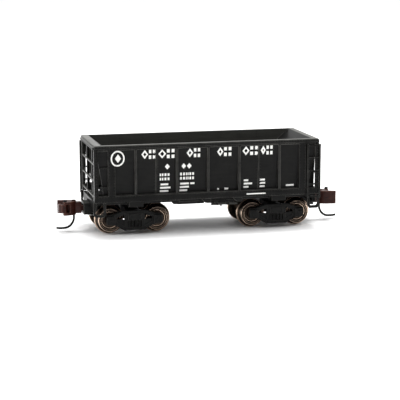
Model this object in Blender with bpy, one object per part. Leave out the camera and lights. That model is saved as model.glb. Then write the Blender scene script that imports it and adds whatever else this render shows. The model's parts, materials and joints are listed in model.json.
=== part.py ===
"""Small-scale model ore hopper car on two swivelling trucks, with knuckle couplers.

Shapes are drawn in millimetres and stored in metres. +X runs along the car, +Z is up, and the
origin is under the middle of the car, level with the lowest point of the wheel flanges.
"""

import math

import bmesh
import bpy
from mathutils import Matrix, Vector

METRES_PER_MM = 0.001
GAP = 0.05                     # between neighbouring pieces

# Wheels and trucks
TREAD_RADIUS = 2.62
FLANGE_DEPTH = 0.6
AXLE_HEIGHT = TREAD_RADIUS + FLANGE_DEPTH
WHEELBASE = 10.45
TRUCK_CENTRES = 32.1
BACK_TO_BACK = 7.6             # between the inner faces of a wheel pair
WHEEL_WIDTH = 2.1
AXLE_RADIUS = 0.42
AXLE_END_RADIUS = 0.36
AXLE_LENGTH = 13.9
BUSH_WALL = 0.22
BEARING_CLEARANCE = 0.08
SIDEFRAME_INNER = 6.35
SIDEFRAME_OUTER = 7.15
JOURNAL_OUTER = 7.6
SIDEFRAME_TOP = 5.45
SIDEFRAME_BOTTOM = 1.1
KINGPIN_RADIUS = 0.85

# Body
BODY_LENGTH = 50.8
BODY_WIDTH = 19.0
BODY_TOP = 20.15
SILL_BOTTOM = 7.7
SILL_TOP = 9.1
RIB_FACE = 9.3                 # half-width over the ribs, posts and side sill
CHORD_BOTTOM = 19.4
RIB_WIDTH = 0.5
RIB_PLACES = (-16.1, -7.0, 0.0, 7.0, 16.1)
SEAM_PLACES = (-11.5, 11.5)
END_POST = (20.6, 22.1)
CORNER_POST = (24.3, 25.15)
SHEET_TOP = (9.15, 8.75)       # outer and inner half-width of the side sheets at the top
SHEET_FOOT = (8.15, 7.7)       # the same at the foot
SLOPE_TOP_X = 23.6
SLOPE_FOOT_X = 9.0
FLOOR_TOP = 8.3
FLOOR_THICKNESS = 0.6
SLOPE_THICKNESS = 0.7
END_BAR_HEIGHTS = (8.8, 12.3, 15.9)
GRAB_IRON_HEIGHTS = (10.9, 15.2, 19.0)
STRUT_Y = 3.5

# Underframe
DECK_TOP = SILL_BOTTOM - GAP
DECK_THICKNESS = 0.7
DECK_HALF_WIDTH = 7.5
BOLSTER_BOTTOM = 6.5

# Couplers: distances from the middle of the car, along X
PIVOT_X = 24.7
BOX = (22.2, 26.4)
BOX_HALF_WIDTH = 1.9
BOX_TOP = 6.55
BOX_BOTTOM = 4.45
LID_BOTTOM = 3.95
HEAD_FRONT = 31.8
HEAD_REAR = 28.0
HEAD_HEIGHT = (3.85, 6.85)
KNUCKLE_HEIGHT = (4.4, 6.3)
KNUCKLE_PIN = (30.45, 1.3)     # along and across the coupler
TRIP_PIN_X = 28.45
TRIP_PIN_RADIUS = 0.22


# ---------------------------------------------------------------- shapes, in millimetres

def mesh_from(build):
    """A mesh from whatever build(bm) draws, with its faces turned outwards."""
    bm = bmesh.new()
    build(bm)
    bmesh.ops.recalc_face_normals(bm, faces=bm.faces)
    mesh = bpy.data.meshes.new("shape")
    bm.to_mesh(mesh)
    bm.free()
    return mesh


def block(x, y, z):
    """A box between the low and high values of each axis."""
    size = [high - low for low, high in (x, y, z)]
    middle = [(high + low) / 2 for low, high in (x, y, z)]
    place = Matrix.Translation(middle) @ Matrix.Diagonal((*size, 1.0))
    return mesh_from(lambda bm: bmesh.ops.create_cube(bm, size=1.0, matrix=place))


def prism(outline, axis, low, high):
    """An outline in the plane across an axis, extruded from low to high along it."""
    def point(a, b, along):
        return {"X": (along, a, b), "Y": (a, along, b), "Z": (a, b, along)}[axis]

    def build(bm):
        face = bm.faces.new([bm.verts.new(point(a, b, low)) for a, b in outline])
        grown = bmesh.ops.extrude_face_region(bm, geom=[face])["geom"]
        tip = [item for item in grown if isinstance(item, bmesh.types.BMVert)]
        bmesh.ops.translate(bm, verts=tip, vec=Vector(point(0, 0, high - low)))

    return mesh_from(build)


def turned(profile, axis, centre, steps):
    """A lathe shape: (radius, distance along the axis) points, closed at both ends."""
    side, spin = {"X": ((0, 1, 0), (1, 0, 0)), "Y": ((0, 0, 1), (0, 1, 0)),
                  "Z": ((1, 0, 0), (0, 0, 1))}[axis]
    side, spin = Vector(side), Vector(spin)

    def build(bm):
        rings = []
        for step in range(steps):
            turn = Matrix.Rotation(2 * math.pi * step / steps, 3, spin)
            rings.append([bm.verts.new(Vector(centre) + turn @ side * radius + spin * along)
                          for radius, along in profile])
        closed = profile[0][0] > 0 and profile[0] == profile[-1]
        count = len(profile) - 1
        for ring, after in zip(rings, rings[1:] + rings[:1]):
            for i in range(count):
                bm.faces.new((ring[i], ring[i + 1], after[i + 1], after[i]))
        bmesh.ops.remove_doubles(bm, verts=bm.verts, dist=1e-5)
        if not closed:
            bmesh.ops.holes_fill(bm, edges=[edge for edge in bm.edges if edge.is_boundary])

    return mesh_from(build)


def cylinder(radius, axis, centre, length, steps=16):
    """A plain round bar, centred."""
    return turned([(radius, -length / 2), (radius, length / 2)], axis, centre, steps)


def bar(points, radius, sides=8):
    """A round bar bent through a line of points."""
    points = [Vector(point) for point in points]

    def build(bm):
        rings = []
        for i, point in enumerate(points):
            ahead = points[min(i + 1, len(points) - 1)] - points[max(i - 1, 0)]
            across = ahead.cross(Vector((0, 1, 0)) if abs(ahead.y) < 0.9 * ahead.length
                                 else Vector((0, 0, 1))).normalized()
            turn = [Matrix.Rotation(2 * math.pi * k / sides, 3, ahead.normalized())
                    for k in range(sides)]
            rings.append([bm.verts.new(point + step @ across * radius) for step in turn])
        for ring, after in zip(rings, rings[1:]):
            for k in range(sides):
                bm.faces.new((ring[k], ring[(k + 1) % sides], after[(k + 1) % sides], after[k]))
        bm.faces.new(rings[0])
        bm.faces.new(rings[-1])

    return mesh_from(build)


def moved(mesh, matrix):
    """A copy of a mesh put through a matrix."""
    copy = mesh.copy()
    copy.transform(matrix)
    if matrix.determinant() < 0:
        copy.flip_normals()
    return copy


def half_turned(mesh):
    """A copy turned to the other end of the car, about the upright axis."""
    return moved(mesh, Matrix.Rotation(math.pi, 4, "Z"))


def mirrored(mesh, axis):
    """A mirror image across the car's middle, along X or Y."""
    signs = {"X": (-1, 1, 1, 1), "Y": (1, -1, 1, 1)}[axis]
    return moved(mesh, Matrix.Diagonal(signs))


def four_ways(mesh):
    """The same shape at all four corners of the car."""
    pair = [mesh, mirrored(mesh, "Y")]
    return pair + [mirrored(each, "X") for each in pair]


def combined(operation, base, others):
    """The exact union of a mesh with others, or the base with the others cut away."""
    scene = bpy.context.scene.collection
    tools = bpy.data.collections.new("tools")
    scene.children.link(tools)
    for mesh in others:
        tools.objects.link(bpy.data.objects.new("tool", mesh))
    body = bpy.data.objects.new("base", base)
    scene.objects.link(body)
    boolean = body.modifiers.new("join", "BOOLEAN")
    boolean.operation = operation
    boolean.solver = "EXACT"
    boolean.operand_type = "COLLECTION"
    boolean.collection = tools
    graph = bpy.context.evaluated_depsgraph_get()
    result = bpy.data.meshes.new_from_object(body.evaluated_get(graph))
    for made in [body, *tools.objects]:
        bpy.data.objects.remove(made)
    bpy.data.collections.remove(tools)
    return result


def union(*meshes):
    return combined("UNION", meshes[0], meshes[1:])


def minus(base, *cutters):
    return combined("DIFFERENCE", base, cutters)


# ---------------------------------------------------------------- materials and placing

FINISHES = {                   # colour, roughness, metallic
    "black_plastic": ((0.016, 0.016, 0.017), 0.45, 0.0),
    "dark_plastic": ((0.012, 0.012, 0.012), 0.6, 0.0),
    "brown_plastic": ((0.045, 0.018, 0.012), 0.5, 0.0),
    "blackened_metal": ((0.12, 0.085, 0.065), 0.3, 1.0),
    "bronze": ((0.42, 0.24, 0.11), 0.35, 1.0),
    "steel": ((0.45, 0.45, 0.45), 0.35, 1.0),
    "zinc": ((0.38, 0.39, 0.41), 0.5, 1.0),
}


def finish_material(node, finish):
    """A material of the node's own."""
    colour, roughness, metallic = FINISHES[finish]
    material = bpy.data.materials.new(node + "_finish")
    material.use_nodes = True
    shader = material.node_tree.nodes["Principled BSDF"]
    shader.inputs["Base Color"].default_value = (*colour, 1.0)
    shader.inputs["Roughness"].default_value = roughness
    shader.inputs["Metallic"].default_value = metallic
    return material


def place(name, mesh, finish, pivot=(0, 0, 0), parent=None, smooth=False):
    """Store a shape as a named object in metres, with its origin on its pivot."""
    mesh = moved(mesh, Matrix.Scale(METRES_PER_MM, 4) @ Matrix.Translation(-Vector(pivot)))
    mesh.name = name
    mesh.materials.clear()
    mesh.materials.append(finish_material(name, finish))
    if smooth:
        mesh.shade_smooth()
        mesh.set_sharp_from_angle(angle=math.radians(35))
    piece = bpy.data.objects.new(name, mesh)
    bpy.context.scene.collection.objects.link(piece)
    origin = Vector(pivot) * METRES_PER_MM
    if parent:
        piece.parent = parent
        origin = origin - parent.matrix_world.translation
    piece.location = origin
    bpy.context.view_layer.update()


def joint_empty(name, pivot, parent=None):
    """An empty on a joint's axis, for the pieces that move with it."""
    empty = bpy.data.objects.new(name, None)
    bpy.context.scene.collection.objects.link(empty)
    origin = Vector(pivot) * METRES_PER_MM
    if parent:
        empty.parent = parent
        origin = origin - parent.matrix_world.translation
    empty.location = origin
    bpy.context.view_layer.update()
    return empty


# ---------------------------------------------------------------- body

def side_wall():
    """The near side's leaning sheet, its sill, ribs, seams, posts and chord."""
    outer_top, inner_top = SHEET_TOP
    outer_foot, inner_foot = SHEET_FOOT
    section = [(-outer_top, CHORD_BOTTOM + 0.3), (-outer_foot, SILL_TOP), (-outer_foot, SILL_BOTTOM),
               (-inner_foot, SILL_BOTTOM), (-inner_foot, SILL_TOP), (-inner_top, BODY_TOP),
               (-outer_top, BODY_TOP)]
    edge = CORNER_POST[0] + GAP
    sheet = prism(section, "X", -edge, edge)
    slit = [(23.0, SILL_TOP + 0.4), (24.25, 16.6), (24.25, SILL_TOP + 0.4)]
    slits = [prism([(sign * x, z) for x, z in slit], "Y", -9.8, -7.0) for sign in (-1, 1)]
    sheet = minus(sheet, *slits)
    half = BODY_LENGTH / 2
    parts = [
        sheet,
        block((-CORNER_POST[1], CORNER_POST[1]), (-RIB_FACE, -inner_foot), (SILL_BOTTOM, SILL_TOP)),
        block((-half + 0.3, half - 0.3), (-BODY_WIDTH / 2, -inner_top), (CHORD_BOTTOM, BODY_TOP)),
        block((-CORNER_POST[1], CORNER_POST[1]), (-RIB_FACE, -inner_top - 0.1),
              (CHORD_BOTTOM - 0.35, CHORD_BOTTOM + 0.1)),
    ]
    for x in RIB_PLACES:
        parts.append(side_post(x - RIB_WIDTH / 2, x + RIB_WIDTH / 2))
    for x in SEAM_PLACES:
        lean = [(-outer_top - 0.1, CHORD_BOTTOM), (-outer_foot - 0.1, SILL_TOP - 0.2),
                (-outer_foot + 0.2, SILL_TOP - 0.2), (-outer_top + 0.2, CHORD_BOTTOM)]
        parts.append(prism(lean, "X", x - 0.15, x + 0.15))
    for sign in (-1, 1):
        parts.append(side_post(*sorted(sign * x for x in END_POST)))
        parts.append(corner_post(sign))
    return parts


def side_post(low, high):
    """An upright against the leaning sheet, deep at the foot and shallow at the top."""
    outline = [(-RIB_FACE, CHORD_BOTTOM), (-RIB_FACE, SILL_TOP - 0.2),
               (-SHEET_FOOT[0] + 0.2, SILL_TOP - 0.2), (-SHEET_TOP[0] + 0.2, CHORD_BOTTOM)]
    return prism(outline, "X", low, high)


def corner_post(sign):
    """An angle at the corner: one leg on the side, one on the end."""
    low, high = CORNER_POST
    angle = [(low, -RIB_FACE), (high, -RIB_FACE), (high, -8.0), (high - 0.35, -8.0),
             (high - 0.35, -RIB_FACE + 0.45), (low, -RIB_FACE + 0.45)]
    return prism([(sign * x, y) for x, y in angle], "Z", SILL_BOTTOM, CHORD_BOTTOM + 0.2)


def grab_irons():
    """Three bars across the open bay at the near side's left end."""
    y = -RIB_FACE + 0.2
    return [block((-CORNER_POST[0] - 0.2, -END_POST[1] + 0.2), (y - 0.15, y + 0.15), (z - 0.15, z + 0.15))
            for z in GRAB_IRON_HEIGHTS]


def slope_sheet():
    """The right end's sloping sheet, level flange and end chord."""
    half = BODY_LENGTH / 2
    drop = SLOPE_THICKNESS
    foot = FLOOR_TOP - FLOOR_THICKNESS
    outline = [(SLOPE_FOOT_X - 0.5, FLOOR_TOP), (SLOPE_FOOT_X, FLOOR_TOP), (SLOPE_TOP_X, BODY_TOP),
               (half - 0.3, BODY_TOP), (half - 0.3, BODY_TOP - 0.4), (half, BODY_TOP - 0.4),
               (half, CHORD_BOTTOM - 0.2), (SLOPE_TOP_X + 0.4, CHORD_BOTTOM - 0.2),
               (SLOPE_FOOT_X + drop, foot), (SLOPE_FOOT_X - 0.5, foot)]
    inner = SHEET_FOOT[1] + 0.2
    flange = prism([(x, z) for x, z in outline], "Y", -inner, inner)
    # the sheet widens towards the top with the leaning sides
    wings = []
    for share in range(1, 5):
        x = SLOPE_FOOT_X + (SLOPE_TOP_X - SLOPE_FOOT_X) * share / 5
        z = FLOOR_TOP + (BODY_TOP - FLOOR_TOP) * share / 5
        wing = [(x, z), (SLOPE_TOP_X, BODY_TOP), (half - 0.3, BODY_TOP), (half - 0.3, BODY_TOP - 0.4),
                (half, BODY_TOP - 0.4), (half, CHORD_BOTTOM - 0.2),
                (SLOPE_TOP_X + 0.4, CHORD_BOTTOM - 0.2), (x + drop, z - 0.6)]
        reach = SHEET_FOOT[1] + (SHEET_TOP[1] - SHEET_FOOT[1]) * share / 5 + 0.3
        wings.append(prism(wing, "Y", -reach, reach))
    return [flange, *wings]


def end_frame():
    """The right end's level bars between the corner posts, and two upright struts."""
    outer = CORNER_POST[1]
    bars = [block((outer - 0.5, outer - 0.1), (-8.6, 8.6), (z - 0.17, z + 0.17))
            for z in END_BAR_HEIGHTS]
    struts = [block((outer - 1.0, outer - 0.4), (y - 0.3, y + 0.3), (SILL_BOTTOM, CHORD_BOTTOM))
              for y in (-STRUT_Y, STRUT_Y)]
    return bars + struts


def bracket():
    """A gusset hanging under the near side's sill, slanted on its left edge."""
    outline = [(-1.7, SILL_BOTTOM + 0.1), (-0.7, 6.75), (0.55, 6.75), (0.55, SILL_BOTTOM + 0.1)]
    return prism(outline, "Y", -9.2, -8.4)


def body_shell():
    near = side_wall() + grab_irons()
    near += [moved(bracket(), Matrix.Translation((x, 0, 0))) for x in (-7.1, 0.0, 7.1)]
    far = [half_turned(shape) for shape in near]
    end = slope_sheet() + end_frame()
    other_end = [half_turned(shape) for shape in end]
    floor = block((-SLOPE_FOOT_X, SLOPE_FOOT_X), (-SHEET_FOOT[1] - 0.2, SHEET_FOOT[1] + 0.2),
                  (FLOOR_TOP - FLOOR_THICKNESS, FLOOR_TOP))
    place("body_shell", union(floor, *near, *far, *end, *other_end), "black_plastic")


def ladder():
    """The near side's ladder at the right end."""
    stiles = (22.55, 25.3)
    face = (-RIB_FACE - 0.45, -RIB_FACE - GAP)
    parts = [block((x - 0.17, x + 0.17), face, (6.95, 18.95)) for x in stiles]
    parts += [block(stiles, (face[0] + 0.08, face[1] - 0.05), (z - 0.16, z + 0.16))
              for z in (18.6, 15.8, 12.9, 10.0, 7.15)]
    return union(*parts)


def stirrup():
    """A step hanging below the near side's right corner."""
    outline = [(22.65, 7.65), (22.65, 5.2), (23.1, 4.5), (25.0, 4.5), (25.4, 5.1), (25.4, 7.65),
               (24.75, 7.65), (24.75, 6.9), (24.95, 5.5), (24.6, 5.1), (23.4, 5.1), (23.1, 5.5),
               (23.2, 6.9), (23.2, 7.65)]
    return prism(outline, "Y", -9.1, -8.75)


def side_fittings():
    place("ladder_right", ladder(), "black_plastic")
    place("ladder_left", half_turned(ladder()), "black_plastic")
    names = ("stirrup_right_near", "stirrup_right_far", "stirrup_left_near", "stirrup_left_far")
    for name, shape in zip(names, four_ways(stirrup())):
        place(name, shape, "black_plastic")


# ---------------------------------------------------------------- underframe

def underframe():
    half = CORNER_POST[1] - 0.1
    deck_bottom = DECK_TOP - DECK_THICKNESS
    truck_x = TRUCK_CENTRES / 2
    parts = [block((-half, half), (-DECK_HALF_WIDTH, DECK_HALF_WIDTH), (deck_bottom, DECK_TOP)),
             block((-12.5, 12.5), (-1.5, 1.5), (5.95, deck_bottom + 0.1))]
    for sign in (-1, 1):
        x = sign * truck_x
        parts += [block((x - 1.6, x + 1.6), (-9.0, 9.0), (BOLSTER_BOTTOM, DECK_TOP)),
                  block((x - 1.9, x + 1.9), (-2.2, 2.2), (BOLSTER_BOTTOM, deck_bottom + 0.1))]
        sill = sorted(sign * edge for edge in (half - 0.75, half))
        for y in ((-DECK_HALF_WIDTH, -2.05), (2.05, DECK_HALF_WIDTH)):
            parts.append(block(sill, y, (5.6, deck_bottom + 0.1)))
    holes = [cylinder(KINGPIN_RADIUS + GAP, "Z", (sign * truck_x, 0, 6.6), 1.0) for sign in (-1, 1)]
    screw_holes = [cylinder(0.35, "Z", (x, 0, 7.0), 3.0, 12) for x in (-4.0, 4.0)]
    place("underframe", minus(union(*parts), *holes, *screw_holes), "black_plastic")


def door_chute():
    """The shallow hopper-door housing under the deck, one each side of the centre sill."""
    top = DECK_TOP - DECK_THICKNESS - GAP
    outline = [(-7.2, top), (-6.3, 6.15), (-0.4, 6.15), (-0.2, 6.45), (0.2, 6.45), (0.4, 6.15),
               (6.3, 6.15), (7.2, top)]
    near = prism(outline, "Y", -6.4, -1.6)
    place("door_housing_near", near, "dark_plastic")
    place("door_housing_far", half_turned(near), "dark_plastic")


def door_shaft():
    """The door-operating shaft under the near sill, with its crank and pawl."""
    y, z = -8.7, 6.35
    shaft = cylinder(0.28, "X", (3.65, y, z), 5.9, 12)
    cranks = [block((x - 0.4, x + 0.4), (y - 0.35, y + 0.35), (z - 0.25, z + 0.4)) for x in (1.9, 4.4)]
    pawl = prism([(2.45, z + 0.1), (2.95, 5.65), (3.2, z + 0.1)], "Y", y - 0.2, y + 0.2)
    return union(shaft, *cranks, pawl)


def weight():
    """A cast weight under the right slope sheet."""
    low = DECK_TOP + GAP
    outline = [(12.6, low), (19.6, low), (19.6, 12.0), (18.0, 12.0), (12.6, 8.9)]
    return prism(outline, "Y", -6.6, 6.6)


def pan_screw(radius, head_radius, bottom, head_height, top, centre):
    """A screw pointing up: rounded head below, plain shank above."""
    profile = [(0, bottom), (head_radius * 0.75, bottom), (head_radius, bottom + head_height * 0.5),
               (head_radius, bottom + head_height), (radius, bottom + head_height), (radius, top), (0, top)]
    screw = turned(profile, "Z", (*centre, 0), 14)
    slot = block((centre[0] - head_radius, centre[0] + head_radius), (centre[1] - 0.1, centre[1] + 0.1),
                 (bottom - 0.1, bottom + 0.18))
    return minus(screw, slot)


def underframe_fittings():
    place("ballast_weight_right", weight(), "zinc")
    place("ballast_weight_left", half_turned(weight()), "zinc")
    place("door_shaft_near", door_shaft(), "black_plastic")
    place("door_shaft_far", half_turned(door_shaft()), "black_plastic")
    deck_bottom = DECK_TOP - DECK_THICKNESS
    for side, x in (("left", -4.0), ("right", 4.0)):
        # the centre sill carries the heads, the shanks stop short of the floor
        screw = pan_screw(0.3, 0.7, 5.4, 0.5, deck_bottom + 0.6, (x, 0))
        place("body_screw_" + side, screw, "steel", smooth=True)


def brake_gear():
    """Reservoir, brake cylinder, and the hand-brake wheel on its staff at the right end."""
    reservoir = turned([(0, -3.4), (0.6, -3.4), (0.9, -3.1), (0.9, 3.1), (0.6, 3.4), (0, 3.4)],
                       "Y", (-21.2, 0, DECK_TOP + GAP + 0.9), 14)
    place("air_reservoir", reservoir, "black_plastic", smooth=True)
    barrel = turned([(0, -2.4), (1.1, -2.4), (1.1, -2.1), (0.95, -2.1), (0.95, 1.0), (1.1, 1.0),
                     (1.1, 1.3), (0.4, 1.6), (0.25, 1.6), (0.25, 2.8), (0, 2.8)],
                    "Y", (21.2, -0.4, DECK_TOP + GAP + 1.1), 14)
    place("brake_cylinder", barrel, "black_plastic", smooth=True)
    y, wheel_z = 5.6, 14.1
    staff = union(cylinder(0.2, "Z", (24.3, y, 12.3), 9.1, 10),
                  block((24.1, 24.72), (y - 0.35, y + 0.35), (wheel_z - 0.35, wheel_z + 0.35)))
    place("brake_staff", staff, "black_plastic")
    rim = turned([(1.35, -0.14), (1.35, 0.14), (1.08, 0.14), (1.08, -0.14), (1.35, -0.14)],
                 "X", (24.92, y, wheel_z), 18)
    spokes = [moved(block((24.84, 25.0), (-0.1, 0.1), (0.1, 1.2)),
                    Matrix.Translation((0, y, wheel_z)) @ Matrix.Rotation(turn * math.pi / 2.5, 4, "X"))
              for turn in range(5)]
    hub = cylinder(0.35, "X", (24.93, y, wheel_z), 0.3, 12)
    place("brake_wheel", union(hub, rim, *spokes), "black_plastic")


# ---------------------------------------------------------------- trucks

def sideframe_outline():
    """The truck side's outer outline, right half mirrored to the left."""
    right = [(0, SIDEFRAME_TOP), (2.6, SIDEFRAME_TOP), (4.4, 4.75), (6.15, 4.45), (6.3, 3.2),
             (6.0, 2.35), (4.5, 2.3), (2.3, SIDEFRAME_BOTTOM), (0, SIDEFRAME_BOTTOM)]
    left = [(-x, z) for x, z in reversed(right)]
    return right + left[1:-1]


def truck_frame(centre):
    """Two sideframes joined by the transom, in one moulding."""
    windows = []
    for sign in (-1, 1):
        window = [(2.2, 4.55), (3.95, 3.95), (3.95, 2.95), (2.2, 1.95)]
        windows.append(prism([(sign * x, z) for x, z in window], "Y", -8, 8))
    nest = block((-1.6, 1.6), (-8, 8), (1.7, 3.25))
    sides = []
    for sign in (-1, 1):
        y = sorted((sign * SIDEFRAME_INNER, sign * SIDEFRAME_OUTER))
        frame = minus(prism(sideframe_outline(), "Y", *y), nest, *windows)
        lids = [block((x - 0.95, x + 0.95), sorted((sign * 7.0, sign * JOURNAL_OUTER)), (2.45, 4.2))
                for x in (-WHEELBASE / 2, WHEELBASE / 2)]
        posts = [block((x - 0.28, x + 0.28), sorted((sign * 6.5, sign * 7.0)), (1.4, 3.4))
                 for x in (-1.15, -0.4, 0.4, 1.15)]
        end = block((-1.45, 1.45), sorted((sign * 7.0, sign * 7.4)), (3.35, 4.7))
        sides.append(union(frame, *lids, *posts, end))
    transom = block((-1.45, 1.45), (-SIDEFRAME_INNER - 0.2, SIDEFRAME_INNER + 0.2), (4.3, 5.3))
    plate = cylinder(1.9, "Z", (0, 0, 5.25), 2 * (BOLSTER_BOTTOM - GAP - 5.25), 20)
    frame = union(transom, plate, *sides)
    bearings = [turned([(0, -7.1), (0.12, -7.1), (AXLE_END_RADIUS + BEARING_CLEARANCE, -6.55),
                        (AXLE_END_RADIUS + BEARING_CLEARANCE, 6.55), (0.12, 7.1), (0, 7.1)],
                       "Y", (x, 0, AXLE_HEIGHT), 12) for x in (-WHEELBASE / 2, WHEELBASE / 2)]
    hole = cylinder(KINGPIN_RADIUS + 0.1, "Z", (0, 0, 5.0), 6.0, 20)
    recess = cylinder(1.4 + 0.1, "Z", (0, 0, 4.3), 0.6, 20)
    frame = minus(frame, hole, recess, *bearings)
    return moved(frame, Matrix.Translation((centre, 0, 0)))


def axle(x):
    """A stepped axle with coned ends."""
    half = AXLE_LENGTH / 2
    shoulder = BACK_TO_BACK / 2 + WHEEL_WIDTH
    profile = [(0, -half), (0.06, -half), (AXLE_END_RADIUS, -half + 0.5), (AXLE_END_RADIUS, -shoulder - 0.1),
               (AXLE_RADIUS, -shoulder)]
    profile += [(radius, -along) for radius, along in reversed(profile)]
    return turned(profile, "Y", (x, 0, AXLE_HEIGHT), 12)


def wheel(x, side, bore):
    """A flanged wheel with a stepped face, on the near (-1) or far (+1) side."""
    back = BACK_TO_BACK / 2
    face = back + WHEEL_WIDTH
    flange = TREAD_RADIUS + FLANGE_DEPTH
    profile = [(bore, back), (flange - 0.15, back), (flange, back + 0.2), (TREAD_RADIUS, back + 0.6),
               (TREAD_RADIUS - 0.06, face), (2.1, face), (1.9, face - 0.45), (1.0, face - 0.45),
               (0.9, face), (bore, face), (bore, back)]
    return turned([(radius, side * along) for radius, along in profile], "Y", (x, 0, AXLE_HEIGHT), 20)


def bush(x):
    """The insulating sleeve inside the near wheel."""
    back = BACK_TO_BACK / 2
    inner, outer = AXLE_RADIUS + GAP, AXLE_RADIUS + GAP + BUSH_WALL
    profile = [(inner, -back), (outer, -back), (outer, -back - WHEEL_WIDTH + 0.1),
               (inner, -back - WHEEL_WIDTH + 0.1), (inner, -back)]
    return turned(profile, "Y", (x, 0, AXLE_HEIGHT), 12)


def kingpin(centre):
    """The pin that the truck turns on: head below the transom, shank up in the bolster."""
    profile = [(0, 4.05), (1.2, 4.05), (1.35, 4.15), (1.35, 4.5), (KINGPIN_RADIUS, 4.5),
               (KINGPIN_RADIUS, 7.0), (KINGPIN_RADIUS - 0.2, 7.05), (0, 7.05)]
    return turned(profile, "Z", (centre, 0, 0), 18)


def truck(side, sign):
    centre = sign * TRUCK_CENTRES / 2
    pivot = joint_empty("truck_pivot_" + side, (centre, 0, BOLSTER_BOTTOM))
    place("truck_frame_" + side, truck_frame(centre), "dark_plastic", (centre, 0, BOLSTER_BOTTOM), pivot)
    place("kingpin_" + side, kingpin(centre), "dark_plastic", smooth=True)
    for end, local in (("inner", -sign), ("outer", sign)):
        x = centre + local * WHEELBASE / 2
        spindle = (x, 0, AXLE_HEIGHT)
        spin = joint_empty("axle_line_" + side + "_" + end, spindle, pivot)
        label = "_" + side + "_" + end
        place("axle" + label, axle(x), "bronze", spindle, spin, smooth=True)
        bush_outer = AXLE_RADIUS + GAP + BUSH_WALL
        place("axle_bush" + label, bush(x), "dark_plastic", spindle, spin, smooth=True)
        place("wheel_near" + label, wheel(x, -1, bush_outer + GAP), "blackened_metal", spindle, spin, True)
        place("wheel_far" + label, wheel(x, 1, AXLE_RADIUS + GAP), "blackened_metal", spindle, spin, True)


# ---------------------------------------------------------------- couplers, drawn for the right end

def coupler_box():
    """The housing under the end platform, open below and at the front."""
    low, high = BOX
    shell = block((low, high), (-BOX_HALF_WIDTH, BOX_HALF_WIDTH), (BOX_BOTTOM, BOX_TOP))
    room = block((low + 0.5, high + 0.2), (-1.4, 1.4), (BOX_BOTTOM - 0.1, BOX_TOP - 0.5))
    socket = cylinder(0.4 + GAP, "Z", (PIVOT_X, 0, BOX_TOP - 0.4), 0.6, 12)
    return minus(shell, room, socket)


def box_lid():
    """The lid below the housing, with a round front and a hole for its screw."""
    low, high = BOX
    plate = block((low, high), (-BOX_HALF_WIDTH, BOX_HALF_WIDTH), (LID_BOTTOM, BOX_BOTTOM - GAP))
    hole = cylinder(0.4 + GAP, "Z", (PIVOT_X, 0, LID_BOTTOM), 2.0, 12)
    return minus(plate, hole)


def coupler_head():
    """Shank, eye and head with the guard arm, drawn from above and cut for the knuckle."""
    pin_x, pin_y = KNUCKLE_PIN
    eye = cylinder(0.85, "Z", (PIVOT_X, 0, 5.2), 1.3, 20)
    shank = block((PIVOT_X, HEAD_REAR + 0.3), (-0.6, 0.6), (4.6, 5.8))
    tail = block((PIVOT_X - 1.5, PIVOT_X), (-0.3, 0.3), (4.7, 5.7))
    outline = [(HEAD_REAR, 0.75), (HEAD_REAR, -0.75), (28.5, -1.35), (29.4, -1.75), (HEAD_FRONT - 0.1, -2.0),
               (HEAD_FRONT, -1.75), (31.0, -1.25), (30.2, -0.85), (29.85, -0.1), (29.9, 0.5),
               (pin_x + 0.35, 0.8), (pin_x + 0.5, pin_y), (pin_x + 0.3, pin_y + 0.45),
               (pin_x - 0.3, pin_y + 0.5), (29.2, 1.55), (28.5, 1.2)]
    head = prism(outline, "Z", *HEAD_HEIGHT)
    throat = block((29.45, 31.9), (-0.55, 2.2), (KNUCKLE_HEIGHT[0] - GAP, KNUCKLE_HEIGHT[1] + GAP))
    holes = [cylinder(0.4 + 0.08, "Z", (PIVOT_X, 0, 5.2), 2.0, 18),
             cylinder(0.22 + GAP, "Z", (pin_x, pin_y, 5.2), 6.0, 12),
             cylinder(TRIP_PIN_RADIUS + GAP, "Z", (TRIP_PIN_X, 0, 5.2), 6.0, 12)]
    return minus(union(shank, eye, tail, head), throat, *holes)


def knuckle():
    """The hooked finger that turns on its pin."""
    pin_x, pin_y = KNUCKLE_PIN
    outline = [(pin_x - 0.42, pin_y + 0.1), (pin_x - 0.1, pin_y + 0.42), (pin_x + 0.75, pin_y + 0.5),
               (HEAD_FRONT, 0.95), (HEAD_FRONT, -0.1), (HEAD_FRONT - 0.1, -0.35),
               (HEAD_FRONT - 0.45, -0.5), (HEAD_FRONT - 0.6, -0.2), (31.1, 0.55), (30.7, 0.75),
               (30.15, 0.55), (30.0, 0.1), (29.75, 0.1), (29.75, 0.8)]
    body = prism(outline, "Z", *KNUCKLE_HEIGHT)
    return minus(body, cylinder(0.22 + 0.06, "Z", (pin_x, pin_y, 5.2), 6.0, 12))


def knuckle_pin():
    pin_x, pin_y = KNUCKLE_PIN
    profile = [(0, HEAD_HEIGHT[0] + 0.1), (0.22, HEAD_HEIGHT[0] + 0.1), (0.22, HEAD_HEIGHT[1] + GAP),
               (0.4, HEAD_HEIGHT[1] + GAP), (0.4, HEAD_HEIGHT[1] + 0.3), (0.25, HEAD_HEIGHT[1] + 0.42),
               (0, HEAD_HEIGHT[1] + 0.42)]
    return turned(profile, "Z", (pin_x, pin_y, 0), 12)


def trip_pin():
    """The steel pin that hangs from the head and curves forward above the rails."""
    bend = [(TRIP_PIN_X, HEAD_HEIGHT[1] + 0.3), (TRIP_PIN_X, 3.4)]
    heel_x, heel_z, reach = TRIP_PIN_X + 2.2, 3.3, 2.3
    for degrees in range(0, 91, 15):
        angle = math.radians(degrees)
        bend.append((heel_x - reach * math.cos(angle), heel_z - (heel_z - 0.85) * math.sin(angle)))
    bend += [(31.6, 0.82), (32.3, 0.95)]
    return bar([(x, 0, z) for x, z in bend], TRIP_PIN_RADIUS, 8)


def knuckle_spring():
    """The small coil that closes the knuckle, as the envelope of its shortest length."""
    return cylinder(0.2, "Y", (30.0, -0.33, 5.35), 0.34, 10)


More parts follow.
